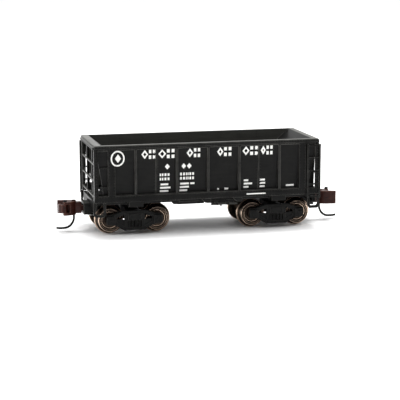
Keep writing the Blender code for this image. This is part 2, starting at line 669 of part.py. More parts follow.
def centring_spring():
    """A flat bronze fork in the box, one arm each side of the coupler's tail."""
    low = BOX[0] + 0.5 + GAP
    back = block((low, low + 0.15), (-1.0, 1.0), (4.8, 5.6))
    arms = [block((low, low + 0.9), sorted((side * 0.62, side * 0.74)), (4.8, 5.6)) for side in (-1, 1)]
    return union(back, *arms)


def coupler(side, sign):
    """All the pieces of one coupler; the left end's are turned half way round."""
    def at_end(mesh):
        return mesh if sign > 0 else half_turned(mesh)

    swing_at = (sign * PIVOT_X, 0, 5.2)
    pin_at = (sign * KNUCKLE_PIN[0], sign * KNUCKLE_PIN[1], 5.2)
    place("coupler_box_" + side, at_end(coupler_box()), "black_plastic")
    place("coupler_box_lid_" + side, at_end(box_lid()), "black_plastic")
    screw = pan_screw(0.4, 0.75, LID_BOTTOM - GAP - 0.45, 0.45, BOX_TOP - 0.3, (PIVOT_X, 0))
    place("coupler_screw_" + side, at_end(screw), "steel", smooth=True)
    place("centring_spring_" + side, at_end(centring_spring()), "bronze")
    swing = joint_empty("coupler_pivot_" + side, swing_at)
    place("coupler_head_" + side, at_end(coupler_head()), "brown_plastic", swing_at, swing)
    place("trip_pin_" + side, at_end(trip_pin()), "steel", swing_at, swing, smooth=True)
    place("knuckle_pin_" + side, at_end(knuckle_pin()), "dark_plastic", swing_at, swing, smooth=True)
    place("knuckle_spring_" + side, at_end(knuckle_spring()), "bronze", swing_at, swing, smooth=True)
    hook = joint_empty("knuckle_pivot_" + side, pin_at, swing)
    place("knuckle_" + side, at_end(knuckle()), "brown_plastic", pin_at, hook)


def main():
    for existing in list(bpy.data.objects):
        bpy.data.objects.remove(existing)
    body_shell()
    side_fittings()
    underframe()
    door_chute()
    underframe_fittings()
    brake_gear()
    for side, sign in (("left", -1), ("right", 1)):
        truck(side, sign)
        coupler(side, sign)


main()
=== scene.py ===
import json
import math
import bmesh
import bpy
from mathutils import Matrix, Vector


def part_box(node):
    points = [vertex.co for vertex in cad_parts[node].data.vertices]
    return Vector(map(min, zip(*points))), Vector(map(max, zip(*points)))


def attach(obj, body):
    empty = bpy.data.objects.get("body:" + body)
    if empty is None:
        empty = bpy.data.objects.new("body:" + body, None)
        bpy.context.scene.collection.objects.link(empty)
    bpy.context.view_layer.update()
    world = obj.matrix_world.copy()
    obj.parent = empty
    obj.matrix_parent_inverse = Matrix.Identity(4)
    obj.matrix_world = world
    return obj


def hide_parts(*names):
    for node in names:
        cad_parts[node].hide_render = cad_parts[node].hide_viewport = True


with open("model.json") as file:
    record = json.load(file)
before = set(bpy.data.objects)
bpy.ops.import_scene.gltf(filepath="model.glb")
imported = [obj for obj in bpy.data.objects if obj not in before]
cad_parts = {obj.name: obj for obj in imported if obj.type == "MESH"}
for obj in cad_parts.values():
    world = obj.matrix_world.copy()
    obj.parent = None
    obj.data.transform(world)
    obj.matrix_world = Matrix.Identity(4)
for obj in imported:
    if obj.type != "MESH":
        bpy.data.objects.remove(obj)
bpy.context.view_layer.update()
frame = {"nodes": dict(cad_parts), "record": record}
scene = bpy.context.scene
nodes = frame["nodes"]
mm = 0.001               # shapes are drawn in millimetres
halfTurn = Matrix.Rotation(math.pi, 4, "Z")
ends = {"left": -1, "right": 1}


class Wire:
    # a socket of a shader or geometry tree, which adds Math nodes when it is used in an expression
    def __init__(self, tree, socket=None):
        self.tree, self.socket = tree, socket

    def node(self, kind, settings=None, inputs=None, output=0):
        made = self.tree.nodes.new(kind)
        for name, value in (settings or {}).items():
            if name == "stops":
                fillRamp(made.color_ramp, value)
            else:
                setattr(made, name, value)
        for key, value in (inputs or {}).items():
            if isinstance(value, Wire):
                self.tree.links.new(value.socket, made.inputs[key])
            else:
                made.inputs[key].default_value = value
        return Wire(self.tree, made.outputs[output])

    def maths(self, operation, first, second):
        return self.node("ShaderNodeMath", {"operation": operation}, {0: first, 1: second})

    def __add__(self, other):
        return self.maths("ADD", self, other)

    def __radd__(self, other):
        return self.maths("ADD", other, self)

    def __sub__(self, other):
        return self.maths("SUBTRACT", self, other)

    def __rsub__(self, other):
        return self.maths("SUBTRACT", other, self)

    def __mul__(self, other):
        return self.maths("MULTIPLY", self, other)

    def __rmul__(self, other):
        return self.maths("MULTIPLY", other, self)


def fillRamp(ramp, stops):
    while len(ramp.elements) < len(stops):
        ramp.elements.new(0.5)
    for element, (place, shade) in zip(ramp.elements, stops):
        element.position = place
        element.color = (shade, shade, shade, 1)


def newMaterial(name, metallic=0.0, specular=0.5):
    # every pattern lies on Object coordinates, counted in millimetres
    material = bpy.data.materials.new(name)
    material.use_nodes = True
    shader = material.node_tree.nodes["Principled BSDF"]
    shader.inputs["Metallic"].default_value = metallic
    shader.inputs["Specular IOR Level"].default_value = specular
    wire = Wire(material.node_tree)
    place = wire.node("ShaderNodeTexCoord", output=3)
    place = wire.node("ShaderNodeVectorMath", {"operation": "SCALE"}, {0: place, 3: 1 / mm})
    return material, shader, wire, place


def feed(shader, name, wire):
    wire.tree.links.new(wire.socket, shader.inputs[name])


def noise(wire, place, size, detail=3.0, rough=0.5):
    return wire.node("ShaderNodeTexNoise", {}, {"Vector": place, "Scale": 1 / size, "Detail": detail,
                                               "Roughness": rough})


def stretched(wire, place, scale):
    return wire.node("ShaderNodeMapping", {}, {"Vector": place, "Scale": scale})


def blendColours(wire, mask, first, second):
    inputs = {0: mask, 6: first if isinstance(first, Wire) else (*first, 1),
              7: second if isinstance(second, Wire) else (*second, 1)}
    return wire.node("ShaderNodeMix", {"data_type": "RGBA"}, inputs, output=2)


def between(wire, value, low, high):
    return wire.node("ShaderNodeMapRange", {}, {"Value": value, "From Min": low, "From Max": high})


def bump(wire, height, depth, strength):
    return wire.node("ShaderNodeBump", {}, {"Height": height, "Distance": depth * mm, "Strength": strength})


def painted(wire, name):
    # a number stored on the mesh
    return wire.node("ShaderNodeAttribute", {"attribute_name": name}, output=2)


# Moulded plastic: flow marks, a fine grain, corners lighter (partly rubbed, partly a painted highlight), what
# faces up paler (partly dust, partly painted light) and the inner side sheets paler (painted light).
# patch, grain and depth are sizes in millimetres.
plasticLooks = {
    "bodyPlastic": {"dark": (0.0034, 0.0034, 0.0034), "light": (0.0088, 0.0088, 0.0082),
                    "edge": (0.115, 0.113, 0.104), "rub": 0.75, "dust": (0.12, 0.12, 0.11), "dusty": 0.85,
                    "inside": (0.052, 0.052, 0.047), "patch": 2.6, "grain": 0.1,
                    "roughness": (0.28, 0.46), "depth": 0.015, "strength": 0.35, "specular": 0.09},
    "truckPlastic": {"dark": (0.0036, 0.0036, 0.0036), "light": (0.0098, 0.0096, 0.009),
                     "edge": (0.06, 0.058, 0.053), "rub": 0.55, "dust": (0.045, 0.044, 0.04), "dusty": 0.7,
                     "inside": (0.01, 0.01, 0.01), "patch": 1.1, "grain": 0.08,
                     "roughness": (0.4, 0.6), "depth": 0.016, "strength": 0.45, "specular": 0.12},
    "couplerPlastic": {"dark": (0.011, 0.0026, 0.0018), "light": (0.042, 0.0105, 0.0065),
                       "edge": (0.16, 0.07, 0.052), "rub": 0.75, "dust": (0.12, 0.066, 0.05), "dusty": 0.55,
                       "inside": (0.02, 0.008, 0.006), "patch": 0.7, "grain": 0.07,
                       "roughness": (0.3, 0.52), "depth": 0.018, "strength": 0.5, "specular": 0.16},
}


def mouldedPlastic(name, look):
    material, shader, wire, place = newMaterial(name, specular=look["specular"])
    broad = noise(wire, place, look["patch"], 4.0, 0.6)
    fine = noise(wire, place, look["grain"], 2.0)
    flow = noise(wire, stretched(wire, place, (0.22, 1.0, 1.5)), look["patch"] * 0.35, 3.0, 0.55)
    shade = between(wire, broad * 0.55 + flow * 0.45, 0.32, 0.68)
    plain = blendColours(wire, shade, look["dark"], look["light"])
    mottled = between(wire, broad * 0.6 + fine * 0.4, 0.3, 0.62)
    # inner side sheets paler: painted light
    colour = blendColours(wire, painted(wire, "inside") * (0.55 + 0.45 * flow), plain, look["inside"])
    # edges lighter: partly rubbed, partly a painted highlight
    colour = blendColours(wire, painted(wire, "edge") * mottled * look["rub"], colour, look["edge"])
    # what faces up paler: partly dust, partly painted light; the end bars carry a painted highlight here
    colour = blendColours(wire, painted(wire, "dust") * (0.45 + 0.55 * mottled) * look["dusty"], colour,
                          look["dust"])
    feed(shader, "Base Color", colour)
    low, high = look["roughness"]
    feed(shader, "Roughness", low + (high - low) * (flow * 0.55 + fine * 0.45))
    feed(shader, "Normal", bump(wire, fine * 0.7 + flow * 0.3, look["depth"], look["strength"]))
    return material


# Turned metal out of a blackening bath: dark in its hollows, bare bronze where it is rubbed.
turnedLooks = {
    "wheelMetal": {"dark": (0.020, 0.0155, 0.0125), "film": (0.045, 0.033, 0.026),
                   "bare": (0.74, 0.56, 0.43), "patch": 0.6, "breakUp": 0.45, "roughness": (0.38, 0.2)},
    "axleMetal": {"dark": (0.04, 0.028, 0.018), "film": (0.15, 0.095, 0.05), "bare": (0.55, 0.36, 0.18),
                  "patch": 0.5, "breakUp": 0.5, "roughness": (0.42, 0.28)},
}


def turnedMetal(name, look):
    material, shader, wire, place = newMaterial(name, metallic=1.0)
    patch = noise(wire, place, look["patch"], 4.0, 0.6)
    bare = between(wire, painted(wire, "wear") + (patch - 0.5) * look["breakUp"], 0.3, 0.8)
    film = blendColours(wire, between(wire, patch, 0.35, 0.65), look["dark"], look["film"])
    feed(shader, "Base Color", blendColours(wire, bare, film, look["bare"]))
    dull, bright = look["roughness"]
    feed(shader, "Roughness", dull + (bright - dull) * bare + (patch - 0.5) * 0.14)
    cut = wire.node("ShaderNodeTexNoise", {"noise_dimensions": "1D"},
                    {"W": painted(wire, "turning"), "Scale": 22.0, "Detail": 3.0})
    feed(shader, "Normal", bump(wire, cut, 0.02, 0.35))
    return material


# Plain metals with a fine scratched or cast surface.
plainLooks = {
    "blackSteel": {"dark": (0.01, 0.01, 0.0096), "light": (0.034, 0.033, 0.031), "patch": 0.8, "grain": 0.1,
                   "roughness": (0.3, 0.45), "depth": 0.008},
    "brightSteel": {"dark": (0.36, 0.35, 0.34), "light": (0.6, 0.59, 0.57), "patch": 0.6, "grain": 0.05,
                    "roughness": (0.22, 0.4), "depth": 0.006},
    "springBronze": {"dark": (0.4, 0.22, 0.09), "light": (0.68, 0.42, 0.2), "patch": 0.5, "grain": 0.05,
                     "roughness": (0.25, 0.4), "depth": 0.005},
    "castZinc": {"dark": (0.09, 0.092, 0.098), "light": (0.2, 0.203, 0.212), "patch": 1.5, "grain": 0.16,
                 "roughness": (0.42, 0.65), "depth": 0.06},
}


def plainMetal(name, look):
    material, shader, wire, place = newMaterial(name, metallic=1.0)
    patch = noise(wire, place, look["patch"], 5.0, 0.6)
    fine = noise(wire, place, look["grain"], 2.0, 0.6)
    shade = between(wire, patch, 0.3, 0.7)
    feed(shader, "Base Color", blendColours(wire, shade, look["dark"], look["light"]))
    low, high = look["roughness"]
    feed(shader, "Roughness", low + (high - low) * fine)
    feed(shader, "Normal", bump(wire, fine, look["depth"], 0.45))
    return material


# Pad-printed white: a little thin in places, so that the black shows through.
printLook = {"thin": (0.42, 0.42, 0.4), "full": (0.84, 0.84, 0.81), "patch": 0.3, "roughness": 0.5}


def printedWhite():
    material, shader, wire, place = newMaterial("printedWhite", specular=0.3)
    thin = noise(wire, place, printLook["patch"], 4.0, 0.6)
    mask = between(wire, thin, 0.3, 0.42)
    feed(shader, "Base Color", blendColours(wire, mask, printLook["thin"], printLook["full"]))
    feed(shader, "Roughness", printLook["roughness"] + thin * 0.15)
    feed(shader, "Normal", bump(wire, thin, 0.006, 0.3))
    return material


materials = {"printedWhite": printedWhite()}
for maker, looks in ((mouldedPlastic, plasticLooks), (turnedMetal, turnedLooks), (plainMetal, plainLooks)):
    for name, look in looks.items():
        materials[name] = maker(name, look)
slotOf = {"bodyPlastic": "body_plastic", "truckPlastic": "frame_plastic",
          "couplerPlastic": "coupler_plastic", "wheelMetal": "wheel_metal", "axleMetal": "bronze",
          "blackSteel": "steel", "brightSteel": "steel", "springBronze": "bronze", "castZinc": "zinc"}
print("materials made:", len(materials))


def bodyOf(node):
    # the body that a CAD node rides on
    for body, members in frame["record"]["behaviour"]["bodies"].items():
        if node in members:
            return body


def pieceName(node):
    # wheel_near_left_inner becomes wheelNearLeftInner
    return "".join(word.capitalize() if i else word for i, word in enumerate(node.split("_")))


def settle(name, mesh, finish, body, stands=(), sharp=32):
    # one finished piece, at the origin, riding on its body
    mesh.name = name
    mesh.materials.clear()
    mesh.materials.append(materials[finish])
    if sharp:
        mesh.shade_smooth()
        mesh.set_sharp_from_angle(angle=math.radians(sharp))
    piece = bpy.data.objects.new(name, mesh)
    scene.collection.objects.link(piece)
    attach(piece, body)
    finish in slotOf
    if stands:
        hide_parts(*stands)


def evaluated(mesh, addModifier):
    # the mesh with one modifier's work in it
    shape = bpy.data.objects.new("shape", mesh)
    scene.collection.objects.link(shape)
    addModifier(shape)
    result = bpy.data.meshes.new_from_object(shape.evaluated_get(bpy.context.evaluated_depsgraph_get()))
    bpy.data.objects.remove(shape)
    return result


def meshOf(bm, outward=True):
    # the plain mesh of finished work, its faces pointing out
    if outward:
        bmesh.ops.recalc_face_normals(bm, faces=bm.faces)
    mesh = bpy.data.meshes.new("part")
    bm.to_mesh(mesh)
    bm.free()
    return mesh


def joined(parts):
    bm = bmesh.new()
    for part in parts:
        bm.from_mesh(part)
        bpy.data.meshes.remove(part)
    return meshOf(bm, outward=False)


def moved(mesh, matrix):
    result = mesh.copy()
    result.transform(matrix)
    return result


def shift(x, y, z):
    return Matrix.Translation(Vector((x, y, z)) * mm)


def slab(first, second):
    # a solid between two outlines with the same number of points
    bm = bmesh.new()
    rings = [[bm.verts.new(Vector(point) * mm) for point in outline] for outline in (first, second)]
    count = len(first)
    for k in range(count):
        after = (k + 1) % count
        bm.faces.new((rings[0][k], rings[0][after], rings[1][after], rings[1][k]))
    bm.faces.new(rings[0])
    bm.faces.new(rings[1])
    return meshOf(bm)


def prism(outline, axis, low, high):
    # an outline in two axes, pushed along the third
    def at(a, b, c):
        return {"X": (c, a, b), "Y": (a, c, b), "Z": (a, b, c)}[axis]
    return slab(*([at(a, b, level) for a, b in outline] for level in (low, high)))


# A closed profile of (radius, along) turned about an axis, with a value stored at each ring.
def lathe(profile, axis, centre, steps, values=None, closed=False):
    along = Vector({"X": (1, 0, 0), "Y": (0, 1, 0), "Z": (0, 0, 1)}[axis])
    across = Vector({"X": (0, 1, 0), "Y": (0, 0, 1), "Z": (1, 0, 0)}[axis])
    third = along.cross(across)
    bm = bmesh.new()
    wear = bm.verts.layers.float.new("wear")
    turning = bm.verts.layers.float.new("turning")
    rings = []
    for k, (radius, distance) in enumerate(profile):
        ring = []
        for step in range(steps if radius > 0 else 1):
            angle = 2 * math.pi * step / steps
            offset = radius * (math.cos(angle) * across + math.sin(angle) * third) + distance * along
            vert = bm.verts.new((Vector(centre) + offset) * mm)
            vert[wear] = values[k] if values else 0.5
            vert[turning] = radius + distance
            ring.append(vert)
        rings.append(ring)
    pairs = list(zip(rings, rings[1:])) + ([(rings[-1], rings[0])] if closed else [])
    for first, second in pairs:
        for step in range(steps):
            after = (step + 1) % steps
            corners = [first[step % len(first)], first[after % len(first)],
                       second[after % len(second)], second[step % len(second)]]
            corners = list(dict.fromkeys(corners))
            if len(corners) > 2:
                bm.faces.new(corners)
    return meshOf(bm)


# A round bar along a line of points, closed at both ends.
def bar(points, radius, sides=12):
    bm = bmesh.new()
    rings = []
    points = [Vector(point) for point in points]
    for k, point in enumerate(points):
        heading = (points[min(k + 1, len(points) - 1)] - points[max(k - 1, 0)]).normalized()
        side = heading.cross(Vector((0, 1, 0)))
        if side.length < 0.2:
            side = heading.cross(Vector((0, 0, 1)))
        side.normalize()
        other = heading.cross(side)
        rings.append([bm.verts.new((point + radius * (math.cos(turn) * side + math.sin(turn) * other)) * mm)
                      for turn in (2 * math.pi * step / sides for step in range(sides))])
    for first, second in zip(rings, rings[1:]):
        for step in range(sides):
            bm.faces.new((first[step], first[(step + 1) % sides], second[(step + 1) % sides], second[step]))
    bm.faces.new(rings[0])
    bm.faces.new(rings[-1])
    return meshOf(bm)


def newTree(name, inputs):
    # a geometry tree with named inputs, and a wire from each
    tree = bpy.data.node_groups.new(name, "GeometryNodeTree")
    tree.interface.new_socket("Geometry", in_out="INPUT", socket_type="NodeSocketGeometry")
    tree.interface.new_socket("Geometry", in_out="OUTPUT", socket_type="NodeSocketGeometry")
    for label, kind in inputs.items():
        tree.interface.new_socket(label, in_out="INPUT", socket_type="NodeSocket" + kind)
    entry = tree.nodes.new("NodeGroupInput")
    given = {socket.name: Wire(tree, socket) for socket in entry.outputs if socket.name}
    return tree, Wire(tree), given


def endTree(tree, wire, shape, material):
    shape = wire.node("GeometryNodeRealizeInstances", {}, {0: shape})
    shape = wire.node("GeometryNodeSetMaterial", {}, {"Geometry": shape, "Material": material})
    tree.links.new(shape.socket, tree.nodes.new("NodeGroupOutput").inputs[0])


def grown(base, tree, values):
    # the base mesh after the tree, as a plain mesh
    sockets = {item.name: item.identifier for item in tree.interface.items_tree if item.in_out == "INPUT"}

    def add(shape):
        modifier = shape.modifiers.new(tree.name, "NODES")
        modifier.node_group = tree
        for label, value in values.items():
            modifier[sockets[label]] = value
    return evaluated(base, add)


# Rivet heads at an even pitch along lines, each standing along the line's facing.
def rivetTree():
    tree, wire, given = newTree("rivetRows", {
        "Pitch": "Float", "Head Radius": "Float", "Head Height": "Float", "Spread": "Float", "Seed": "Int",
        "Finish": "Material"})
    lines = wire.node("GeometryNodeMeshToCurve", {}, {"Mesh": given["Geometry"]})
    points = wire.node("GeometryNodeResampleCurve", {"mode": "LENGTH"},
                       {"Curve": lines, "Length": given["Pitch"]})
    head = wire.node("GeometryNodeMeshUVSphere", {},
                     {"Segments": 8, "Rings": 5, "Radius": given["Head Radius"]})
    flat = wire.maths("DIVIDE", given["Head Height"], given["Head Radius"])
    scale = wire.node("ShaderNodeCombineXYZ", {}, {0: 1.0, 1: 1.0, 2: flat})
    head = wire.node("GeometryNodeTransform", {}, {"Geometry": head, "Scale": scale})
    facing = wire.node("GeometryNodeInputNamedAttribute", {"data_type": "FLOAT_VECTOR"}, {"Name": "facing"})
    turn = wire.node("FunctionNodeAlignRotationToVector", {"axis": "Z"}, {"Vector": facing})
    size = wire.node("FunctionNodeRandomValue", {"data_type": "FLOAT"},
                     {2: 1 - given["Spread"], 3: 1 + given["Spread"], "Seed": given["Seed"]}, output=1)
    heads = wire.node("GeometryNodeInstanceOnPoints", {},
                      {"Points": points, "Instance": head, "Rotation": turn, "Scale": size})
    endTree(tree, wire, heads, given["Finish"])
    return tree


# A round-wire coil standing on each point.
def coilTree():
    tree, wire, given = newTree("coils", {
        "Turns": "Float", "Height": "Float", "Coil Radius": "Float", "Wire Radius": "Float", "Steps": "Int",
        "Finish": "Material"})
    line = wire.node("GeometryNodeCurveSpiral", {}, {
        "Resolution": given["Steps"], "Rotations": given["Turns"], "Start Radius": given["Coil Radius"],
        "End Radius": given["Coil Radius"], "Height": given["Height"]})
    section = wire.node("GeometryNodeCurvePrimitiveCircle", {},
                        {"Resolution": 8, "Radius": given["Wire Radius"]})
    coil = wire.node("GeometryNodeCurveToMesh", {},
                     {"Curve": line, "Profile Curve": section, "Fill Caps": True})
    facing = wire.node("GeometryNodeInputNamedAttribute", {"data_type": "FLOAT_VECTOR"}, {"Name": "facing"})
    turn = wire.node("FunctionNodeAlignRotationToVector", {"axis": "Z"}, {"Vector": facing})
    coils = wire.node("GeometryNodeInstanceOnPoints", {},
                      {"Points": given["Geometry"], "Instance": coil, "Rotation": turn})
    endTree(tree, wire, coils, given["Finish"])
    return tree


rivetRows, coils = rivetTree(), coilTree()


def facingMesh(lines):
    # lines of points, each with the way that its pieces face
    bm = bmesh.new()
    facing = bm.verts.layers.float_vector.new("facing")
    for points, direction in lines:
        verts = [bm.verts.new(Vector(point) * mm) for point in points]
        for vert in verts:
            vert[facing] = direction
        for first, second in zip(verts, verts[1:]):
            bm.edges.new((first, second))
    mesh = bpy.data.meshes.new("lines")
    bm.to_mesh(mesh)
    bm.free()
    return mesh


def bothWays(lines):
    # the same lines again on the other side, half a turn round
    other = [([halfTurn @ Vector(point) for point in points], halfTurn @ Vector(direction))
             for points, direction in lines]
    return list(lines) + other


# The frame's own shapes get the small round edges of a moulding: the start of a node's name, its finish
# and the width of the rounding.
softEdges = [
    ("body_shell", "bodyPlastic", 0.065), ("underframe", "bodyPlastic", 0.06),
    ("ladder", "bodyPlastic", 0.06), ("stirrup", "bodyPlastic", 0.06),
    ("door_housing", "truckPlastic", 0.05), ("door_shaft", "bodyPlastic", 0.04),
    ("ballast_weight", "castZinc", 0.15),
    ("body_screw", "brightSteel", 0.03), ("brake_staff", "bodyPlastic", 0.04),
    ("coupler_box_lid", "bodyPlastic", 0.07), ("coupler_box", "bodyPlastic", 0.07),
    ("coupler_screw", "brightSteel", 0.03), ("centring_spring", "springBronze", 0.02),
    ("coupler_head", "couplerPlastic", 0.11), ("knuckle_", "couplerPlastic", 0.1),
    ("truck_frame", "truckPlastic", 0.055),
]
madeFresh = ("wheel_", "axle_", "kingpin_", "knuckle_pin_", "knuckle_spring_", "trip_pin_", "air_reservoir",
             "brake_cylinder", "brake_wheel")
edgeLook = {"wide": 0.26, "foldAngle": 28, "topRail": (9.4, 20.1), "join": 0.0005, "segments": 2}

# Where the body is painted lighter, in millimetres, and by how much: edges partly rubbed and partly a painted
# highlight, what faces up partly dust and partly painted light, rib faces a painted reflection, end bars a
# painted highlight and the inner side sheets painted light.
wearAndPaintedLightLook = {"railAbove": 19.2, "rail": 0.55,
           "rib": 0.4, "ribHalf": 0.3, "ribHeight": (9.0, 19.2), "ribFace": 9.2,
           "bars": (8.8, 12.3, 15.9), "barHalf": 0.2, "barFace": (24.6, 25.1), "barReach": 8.7,
           "barDust": 0.8, "dustAbove": 15, "lowDust": 0.35, "level": 0.9,
           "sheet": (7.6, 8.9), "sheetHeight": (8.5, 20.1)}
ribPlaces = (-16.1, -7.0, 0.0, 7.0, 16.1)


def mergedCopy(node, width):
    # a copy of the node with its loose triangles joined up, and how wide each corner is rounded
    bm = bmesh.new()
    bm.from_mesh(nodes[node].data)
    bmesh.ops.remove_doubles(bm, verts=bm.verts, dist=edgeLook["join"] * mm)
    weight = bm.edges.layers.float.new("bevel_weight_edge")
    for face in bm.faces:
        face.smooth = True
    out, up = edgeLook["topRail"]
    for edge in bm.edges:
        edge.smooth = edge.calc_face_angle(0) < math.radians(edgeLook["foldAngle"])
        onTop = all(vert.co.z > up * mm and abs(vert.co.y) > out * mm for vert in edge.verts)
        edge[weight] = 0.0 if edge.smooth else 1.0 if onTop else width / edgeLook["wide"]
    return meshOf(bm, outward=False)


def store(mesh, name, values, domain="FACE"):
    mesh.attributes.new(name, "FLOAT", domain).data.foreach_set("value", values)


def insideSheet(polygon):
    # the inner faces of the two side sheets, which are painted paler as painted light
    centre = polygon.center / mm
    (near, far), (low, high) = wearAndPaintedLightLook["sheet"], wearAndPaintedLightLook["sheetHeight"]
    return abs(polygon.normal.y) > wearAndPaintedLightLook["level"] and polygon.normal.y * centre.y < 0 \
        and low < centre.z < high and near < abs(centre.y) < far


def onRib(corners):
    # within one upright rib's face, which is painted lighter as a painted reflection
    low, high = wearAndPaintedLightLook["ribHeight"]
    return all(abs(corner.y) > wearAndPaintedLightLook["ribFace"] and low < corner.z < high for corner in corners) \
        and any(all(abs(corner.x - x) < wearAndPaintedLightLook["ribHalf"] for corner in corners) for x in ribPlaces)


def onBar(corners):
    # within one of the level bars across an end, which is painted pale all round as a painted highlight
    inner, outer = wearAndPaintedLightLook["barFace"]
    return all(inner < abs(corner.x) < outer and abs(corner.y) < wearAndPaintedLightLook["barReach"] for corner in corners) \
        and any(all(abs(corner.z - z) < wearAndPaintedLightLook["barHalf"] for corner in corners) for z in wearAndPaintedLightLook["bars"])


def softened(node, finish, width):
    def roundEdges(shape):
        shape.data.materials.append(None)
        shape.data.materials.append(None)
        bevel = shape.modifiers.new("soft", "BEVEL")
        bevel.width = edgeLook["wide"] * mm
        bevel.segments = edgeLook["segments"]
        bevel.limit_method = "WEIGHT"
        bevel.use_clamp_overlap = False
        bevel.harden_normals = True
        bevel.miter_outer = "MITER_ARC"
        bevel.material = 1
    copy = mergedCopy(node, width)
    for polygon in copy.polygons:
        polygon.material_index = 0
    mesh = evaluated(copy, roundEdges)
    low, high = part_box(node)
    for vert in mesh.vertices:      # a rounded corner never stands outside the shape it came from
        vert.co = [min(max(value, least), most) for value, least, most in zip(vert.co, low, high)]
    rubbedAndHighlit = [float(polygon.material_index) for polygon in mesh.polygons]
    # up-facing faces paler, partly dust and partly painted light, less so low down
    dust = [(1.0 if polygon.center.z > wearAndPaintedLightLook["dustAbove"] * mm else wearAndPaintedLightLook["lowDust"])
            * (polygon.normal.z > wearAndPaintedLightLook["level"]) for polygon in mesh.polygons]
    if node == "body_shell":
        store(mesh, "inside", [float(insideSheet(polygon)) for polygon in mesh.polygons])
        for k, polygon in enumerate(mesh.polygons):
            corners = [mesh.vertices[index].co / mm for index in polygon.vertices]
            # less of the edge lightening along the top rail
            if polygon.center.z > wearAndPaintedLightLook["railAbove"] * mm:
                rubbedAndHighlit[k] *= wearAndPaintedLightLook["rail"]
            # rib faces painted lighter: a painted reflection
            if onRib(corners):
                rubbedAndHighlit[k] = max(rubbedAndHighlit[k], wearAndPaintedLightLook["rib"])
            # end bars painted pale: a painted highlight
            if onBar(corners):
                dust[k] = wearAndPaintedLightLook["barDust"]
    store(mesh, "edge", rubbedAndHighlit)
    store(mesh, "dust", dust)
    for polygon in mesh.polygons:
        polygon.material_index = 0
    settle(pieceName(node), mesh, finish, bodyOf(node), [node], sharp=None)


for node in sorted(nodes):
    if not node.startswith(madeFresh):
        finish, width = next(look[1:] for look in softEdges if node.startswith(look[0]))
        softened(node, finish, width)
print("frame shapes given soft edges")


# Rings of the wheel: radius, distance from the track's middle, and how bright it is rubbed.
wheelLook = {"steps": 96, "bore": {-1: 0.74, 1: 0.47}, "face": [
    (0.95, 3.8, 0.1), (1.08, 3.86, 0.1), (1.5, 4.22, 0.0), (1.95, 4.2, 0.0), (2.25, 3.9, 0.1),
    (2.4, 3.8, 0.15), (3.02, 3.8, 0.25), (3.15, 3.85, 0.75), (3.215, 3.96, 0.95), (3.19, 4.08, 0.8),
    (3.06, 4.18, 0.5), (2.84, 4.28, 0.12), (2.70, 4.38, 0.1), (2.64, 4.52, 0.25), (2.62, 4.7, 0.38),
    (2.58, 5.74, 0.42), (2.56, 5.82, 1.0), (2.48, 5.895, 1.0), (2.45, 5.9, 0.2), (2.41, 5.885, 0.0),
    (2.2, 5.885, 0.0), (2.17, 5.9, 0.4), (2.11, 5.88, 0.8), (2.04, 5.74, 0.5), (2.0, 5.6, 0.0),
    (1.83, 5.49, 0.0), (1.8, 5.5, 0.5), (1.75, 5.5, 1.0), (1.64, 5.44, 1.0), (1.61, 5.41, 0.2),
    (1.55, 5.4, 0.0), (1.3, 5.4, 0.0), (1.05, 5.4, 0.0), (0.98, 5.5, 0.1), (0.94, 5.8, 0.3),
    (0.88, 5.88, 0.4),
]}
axleLook = {"steps": 40, "half": [
    (0.0, 6.93, 0.7), (0.06, 6.92, 0.7), (0.33, 6.47, 0.6), (0.355, 6.4, 0.7), (0.355, 6.05, 0.5),
    (0.36, 6.0, 0.9), (0.41, 5.9, 0.9), (0.42, 5.84, 0.6), (0.42, 3.5, 0.5), (0.39, 3.3, 0.4),
    (0.39, 0.6, 0.3), (0.40, 0.0, 0.45),
], "sleeve": [(0.47, -3.8, 0), (0.69, -3.8, 0), (0.69, -5.76, 0), (0.66, -5.8, 0), (0.47, -5.8, 0)]}


def turnedAcross(rings, side, centre, steps, closed=False):
    profile = [(radius, side * along) for radius, along, shine in rings]
    return lathe(profile, "Y", centre, steps, [shine for radius, along, shine in rings], closed)


def wheelSets():
    for side in ends:
        for end in ("inner", "outer"):
            label = "_" + side + "_" + end
            low, high = (Vector(corner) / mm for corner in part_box("axle" + label))
            centre = Vector(((low.x + high.x) / 2, 0, (low.z + high.z) / 2))
            body = bodyOf("axle" + label)
            for where, sign in (("near", -1), ("far", 1)):
                bore = wheelLook["bore"][sign]
                rings = [(bore, 3.8, 0.3), *wheelLook["face"], (bore + 0.04, 5.88, 0.6), (bore, 5.84, 0.4)]
                mesh = turnedAcross(rings, sign, centre, wheelLook["steps"], closed=True)
                node = "wheel_" + where + label
                settle(pieceName(node), mesh, "wheelMetal", body, [node])
            half = axleLook["half"]
            rings = half + [(radius, -along, shine) for radius, along, shine in reversed(half[:-1])]
            settle("axle" + side.capitalize() + end.capitalize(),
                   turnedAcross(rings, 1, centre, axleLook["steps"]), "axleMetal", body, ["axle" + label])
            node = "axle_bush" + label
            mesh = turnedAcross(axleLook["sleeve"], 1, centre, axleLook["steps"], closed=True)
            settle(pieceName(node), mesh, "truckPlastic", body, [node])


wheelSets()
print("wheels and axles turned")


